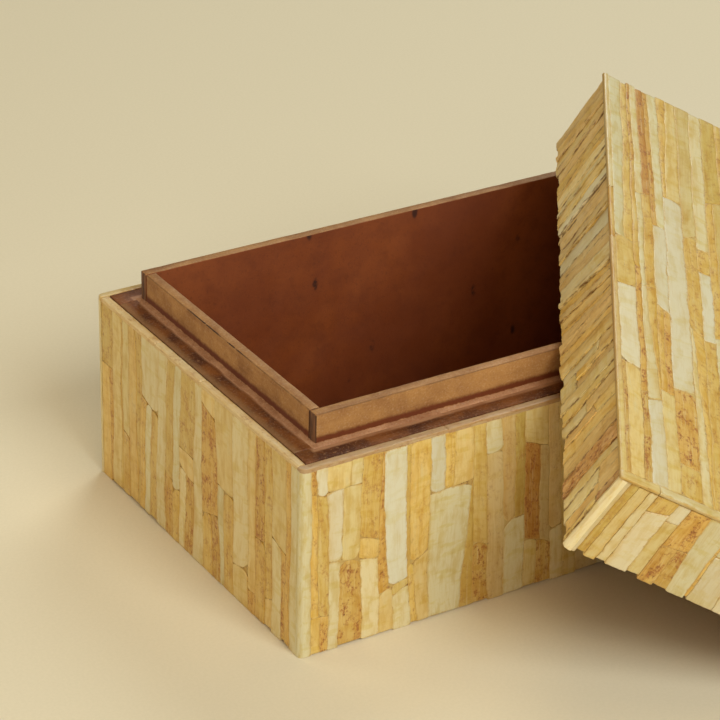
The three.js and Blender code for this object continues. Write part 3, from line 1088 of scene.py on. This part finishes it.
def fill(slivers, strips, quad, style):
    """Fills a quad with strips. Ends at the face's own start and end draw back unevenly."""
    found = []
    split_quad(quad, strips, slivers.rng, found)
    face, rng = slivers.face, slivers.rng
    for part, kind in found:
        at_left, at_right = slivers.at_sides(part)
        inner = not at_left and not at_right
        at_start = inner and part[0, :, 1].max() < TOLERANCE
        at_end = inner and part[1, :, 1].min() > face.length - TOLERANCE
        slivers.add(
            part,
            kind,
            rng.uniform(0, style["ragged_start"]) * (at_start and rng.random() < RAGGED_SHARE),
            rng.uniform(0, style["ragged_end"]) * (at_end and rng.random() < RAGGED_SHARE),
        )


def resin_bed(face, name, corner, style):
    """Resin that holds the slivers. It stops short of round corners and of ragged ends."""
    rng = random.Random(SEED + len(name))
    inset = style["resin_inset"]
    sides = max(inset, corner)
    start, end = inset + style["ragged_start"], face.length - inset
    a = np.linspace(sides, face.width - sides, max(2, round(face.width / RESIN_STEP)))
    l = np.linspace(start, end, max(2, round(face.length / RESIN_STEP)))
    a, l = np.meshgrid(a, l)
    bed = Slivers(face, rng)
    waver = ripple(rng, RESIN_WAVER, RESIN_WAVE)
    bed.append_shell(a, l, face.thickness - style["resin_depth"] + waver(a, l))
    return mesh_object(name, face.places(np.vstack(bed.points)), bed.faces, style["resin"])


def dress(face, body, prefix, style, first=(), last=(), across_start=()):
    """Stands a sliver covering and its resin in for a CAD covering.

    Its strips are the first ones given, drawn ones, and the last ones given. Others may lie
    across its start.
    """
    slivers = Slivers(face, random.Random(seed_of(face.node, SEED_STEP)), **style["shape"])
    rest = face.width - widths_of(first) - widths_of(last)
    strips = [*first, *drawn_strips(slivers.rng, rest, face.length, style), *last]
    start = LID_END_STRIP if across_start else 0
    if across_start:
        fill(slivers, across_start, face.quad(0, start), style)
    fill(slivers, strips, face.quad(start, face.length), style)
    piece = slivers.build(f"{prefix}_slivers", style["material"])
    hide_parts(face.node)
    bed = resin_bed(face, f"{prefix}_resin", slivers.corner, style)
    for shown in (piece, bed):
        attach(shown, body)


def dress_walls(body, node, rise, styles, first, last):
    """Dresses the walls. The front and back cover the others' ends and have round arrises."""
    up = AXES[body][2]
    for side in SIDES:
        outwards = outward(side, body)
        face = Face(node + side, up.cross(outwards), up, outwards)
        face.reach_on(CLOSED_GAP if side in ENDS else 0, rise)
        style = styles[side]
        corner = {"corner": 0 if side in ENDS else WALL_CORNER}
        style = style | {"shape": style["shape"] | corner}
        dress(face, body, f"{body}_{side}", style, first.get(side, []), last.get(side, []))


def dress_box():
    styles = dict.fromkeys(SIDES, WALL_STYLE) | dict.fromkeys(ENDS, END_STYLE)
    dress_walls("box", "cover_", CLOSED_GAP, styles, {"front": FRONT, "left": LEFT}, {})


def dress_lid():
    """Dresses the lid's walls, and its top with long strips closed by short ones at the left."""
    styles = dict.fromkeys(SIDES, LID_STYLE) | {"left": LID_LEFT_STYLE}
    first, last = {"left": LID_LEFT}, {"back": LID_BACK_END}
    dress_walls("lid", "lid_cover_", LID_WALL_RISE, styles, first, last)
    along, back, up = AXES["lid"]
    face = Face("lid_cover_top", -back, along, up)
    dress(face, "lid", "lid_top", LID_TOP_STYLE, LID_TOP, across_start=LID_TOP_END)


def dress_edging():
    """Long thin slivers laid end to end on top of the box's coverings."""
    up = AXES["box"][2]
    for side in SIDES:
        outwards = outward(side, "box")
        face = Face(f"edging_{side}", outwards, up.cross(outwards), up)
        rng = random.Random(SEED + len(side))
        corner = 0 if side in ENDS else WALL_CORNER
        slivers = Slivers(face, rng, end_corner=corner, **EDGING_SHAPE)
        start = 0.0
        while start < face.length - TOLERANCE:
            stop = start + rng.uniform(*EDGING_LENGTHS)
            stop = face.length if stop > face.length - LEAST_EDGING else stop
            outer = face.width - rng.uniform(0, EDGING_OUTER)
            inner = rng.uniform(0, EDGING_INNER)
            taper = rng.uniform(0, EDGING_TAPER)
            quad = [[(inner, start), (outer, start)], [(inner, stop), (outer - taper, stop)]]
            slivers.add(np.array(quad), rng.choice(EDGING_KINDS[side]))
            start = stop
        piece = slivers.build(f"box_edging_{side}", EDGING)
        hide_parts(face.node)
        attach(piece, "box")


# Boards

# What the materials are told about a board's faces.
FACE_MARKS = ("outer_arris", "end_arris", "end_grain", "stained")


def mark_faces(shape, worn, along, inwards, up):
    """Face attributes that tell the materials which parts of a board they cover."""
    layers = {name: shape.faces.layers.float[name] for name in FACE_MARKS}
    for face in shape.faces:
        rises, leans = face.normal.dot(up), face.normal.dot(inwards)
        ends = abs(face.normal.dot(along))
        face[layers["outer_arris"]] = float(rises > 0.3 and leans < -0.3)
        face[layers["end_arris"]] = float(0.3 < ends < 0.9 and abs(rises) < 0.3 and face in worn)
        face[layers["end_grain"]] = float(ends > 0.9)
        face[layers["stained"]] = float(leans > 0.9)


def is_bent(edge):
    return abs(edge.calc_face_angle(0)) >= FLAT_ANGLE


def wear_arrises(shape, node, along):
    """Draws the vertices of the rounded arrises back here and there."""
    waver = ripple(random.Random(seed_of(node)), 1.0, WEAR_WAVE)
    middle = centre(node)
    for vertex in [v for v in shape.verts if any(is_bent(edge) for edge in v.link_edges)]:
        inward = middle - vertex.co
        inward -= along * inward.dot(along)
        amount = max(0.0, float(waver(vertex.co.dot(along), vertex.co.z))) * WEAR_DEPTH
        vertex.co += inward.normalized() * amount


def board(node, body, side, material):
    """Copy of a CAD board with its arrises worn round and slightly wavering."""
    along, inwards = lengthwise(side, body), -outward(side, body)
    low, high = reach(node, along)
    shape = bmesh.new()
    shape.from_mesh(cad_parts[node].data)
    bmesh.ops.remove_doubles(shape, verts=shape.verts, dist=MERGE_DISTANCE)
    bmesh.ops.dissolve_limit(
        shape, angle_limit=math.radians(1), verts=shape.verts, edges=shape.edges
    )
    for name in FACE_MARKS:
        shape.faces.layers.float.new(name)
    sharp = [edge for edge in shape.edges if edge.calc_face_angle(0) > SHARP_ANGLE]
    worn = bmesh.ops.bevel(
        shape, geom=sharp, offset=WORN_RADIUS, segments=2, profile=0.5, affect="EDGES"
    )["faces"]
    mark_faces(shape, set(worn), along, inwards, AXES[body][2])
    for place in np.arange(low + CUT_STEP, high - CUT_STEP / 2, CUT_STEP):
        geometry = list(shape.verts) + list(shape.edges) + list(shape.faces)
        bmesh.ops.bisect_plane(shape, geom=geometry, plane_co=along * place, plane_no=along)
    wear_arrises(shape, node, along)
    mesh = bpy.data.meshes.new(f"wood_{node}")
    shape.to_mesh(mesh)
    shape.free()
    piece = add_mesh(mesh, material, BOARD_SHARP)
    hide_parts(node)
    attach(piece, body)


def box_wall(side, rim):
    """Outer board and liner of one side of the box. Only the ends are dusty and chipped."""
    along, inwards = lengthwise(side, "box"), -outward(side, "box")
    arris = reach(f"carcass_{side}", inwards)[1]
    low, high = reach(f"liner_{side}", along)
    is_end = side in ENDS
    worn_highlit_width = END_WORN_HIGHLIT_WIDTH if is_end else WORN_HIGHLIT_WIDTH
    carcass = carcass_material(
        f"carcass_{side}", along, inwards, arris, worn_highlit_width, (low, high), DUST_SHARE * is_end
    )
    board(f"carcass_{side}", "box", side, carcass)
    line = rim + (END_STAIN_SHADE_RISE if is_end else STAIN_SHADE_RISE)
    chipped = [low + (high - low) * share for share in (CHIPPED_SHARES if is_end else (1, 0))]
    liner = liner_material(f"liner_{side}", along, line, *chipped)
    board(f"liner_{side}", "box", side, liner)


def build_boards():
    along, back, up = AXES["box"]
    rim = reach("carcass_front", up)[1]
    for side in SIDES:
        box_wall(side, rim)
    # The base board lies too far below the rim for the pale strip of wear and painted highlight.
    stretch = reach("base_board", along)
    base = carcass_material("base_board", along, up, rim, WORN_HIGHLIT_WIDTH, stretch, 0)
    board("base_board", "box", "bottom", base)
    stained = stained_material()
    board("liner_floor", "box", "bottom", stained)
    for side in (*SIDES, "top"):
        board(f"lid_board_{side}", "lid", side, stained)


def bead_corners(share):
    """Corners of the bead's ring, from the left front on, at a share of its width inwards."""
    edges = {}
    along, back, up = AXES["box"]
    for side in SIDES:
        inwards = -outward(side, "box")
        outer = reach(f"carcass_{side}", inwards)[1] - BEAD_REACH
        inner = reach(f"liner_{side}", inwards)[0] + BEAD_SINK
        edges[side] = inwards * (outer + (inner - outer) * share)
    turns = (("left", "front"), ("right", "front"), ("right", "back"), ("left", "back"))
    return [edges[end] + edges[side] for end, side in turns]


def add_foot_bead():
    """Thin worn bead of filler round the liner's foot, over the joint with the outer boards."""
    along, back, up = AXES["box"]
    rim = reach("carcass_front", up)[1]
    section = [*zip(BEAD_SHARES, BEAD_RISES), (1, -BEAD_DEPTH), (0, -BEAD_DEPTH)]
    waver = ripple(random.Random(SEED), 1, BEAD_WAVE)
    points = []
    for share, rise in section:
        corners = bead_corners(share)
        for start, end in zip(corners, corners[1:] + corners[:1]):
            for step in np.linspace(0, 1, BEAD_STEPS, endpoint=False):
                place = part_way(start, end, step)
                wavered = BEAD_WAVER * float(waver(place.dot(along), place.dot(back))) * (rise > 0)
                points.append(place + up * (rim + rise + wavered))
    ring = np.arange(len(points)).reshape(len(section), -1)
    below = np.roll(ring, -1, 0)
    faces = np.stack([ring, np.roll(ring, -1, 1), np.roll(below, -1, 1), below], -1)
    faces = faces.reshape(-1, 4).tolist()
    piece = mesh_object("box_foot_bead", points, faces, bead_material(), BEAD_SHARP)
    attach(piece, "box")


# Setting


def add_floor():
    shape = bmesh.new()
    bmesh.ops.create_grid(shape, x_segments=12, y_segments=12, size=FLOOR_SIZE / 2)
    mesh = bpy.data.meshes.new("floor")
    shape.to_mesh(mesh)
    shape.free()
    mesh.materials.append(floor_material())
    floor = add_object("floor", mesh)
    floor.location.z = -FLOOR_DROP


def direction(turn, rise):
    """Direction at an angle round the box and at a rise above the floor, in radians."""
    flat = math.cos(rise)
    return Vector((flat * math.cos(turn), flat * math.sin(turn), math.sin(rise)))


def add_light(name, turn, rise, power, colour):
    """Round soft light at the same distance from the box as the others, aimed at it."""
    away = direction(math.radians(turn), math.radians(rise))
    data = bpy.data.lights.new(name, "AREA")
    data.shape = "DISK"
    data.size = LIGHT_SIZE
    data.energy = power
    data.color = colour
    light = add_object(name, data)
    light.location = (cad_low + cad_high) / 2 + away * LIGHT_DISTANCE
    light.rotation_euler = (-away).to_track_quat("-Z", "Y").to_euler()


def add_lights():
    for name, settings in LIGHTS.items():
        add_light(name, *settings)
    world = bpy.data.worlds.new("studio")
    world.use_nodes = True
    background = world.node_tree.nodes["Background"]
    background.inputs["Color"].default_value = WORLD_COLOUR
    background.inputs["Strength"].default_value = WORLD_STRENGTH
    bpy.context.scene.world = world


def add_camera():
    forward = direction(CAMERA_HEADING, -CAMERA_DROP)
    level = Vector((math.sin(CAMERA_HEADING), -math.cos(CAMERA_HEADING), 0))
    right = level * math.cos(CAMERA_ROLL) + level.cross(forward) * math.sin(CAMERA_ROLL)
    up = right.cross(forward)
    data = bpy.data.cameras.new("camera")
    data.lens = CAMERA_LENS
    data.sensor_width = CAMERA_SENSOR
    camera = add_object("camera", data)
    camera.matrix_world = Matrix((right, up, -forward)).transposed().to_4x4()
    camera.location = CAMERA_PLACE
    bpy.context.scene.camera = camera


dress_box()
dress_lid()
dress_edging()
build_boards()
add_foot_bead()
add_floor()
add_lights()
add_camera()
bpy.context.scene.view_settings.view_transform = "Standard"
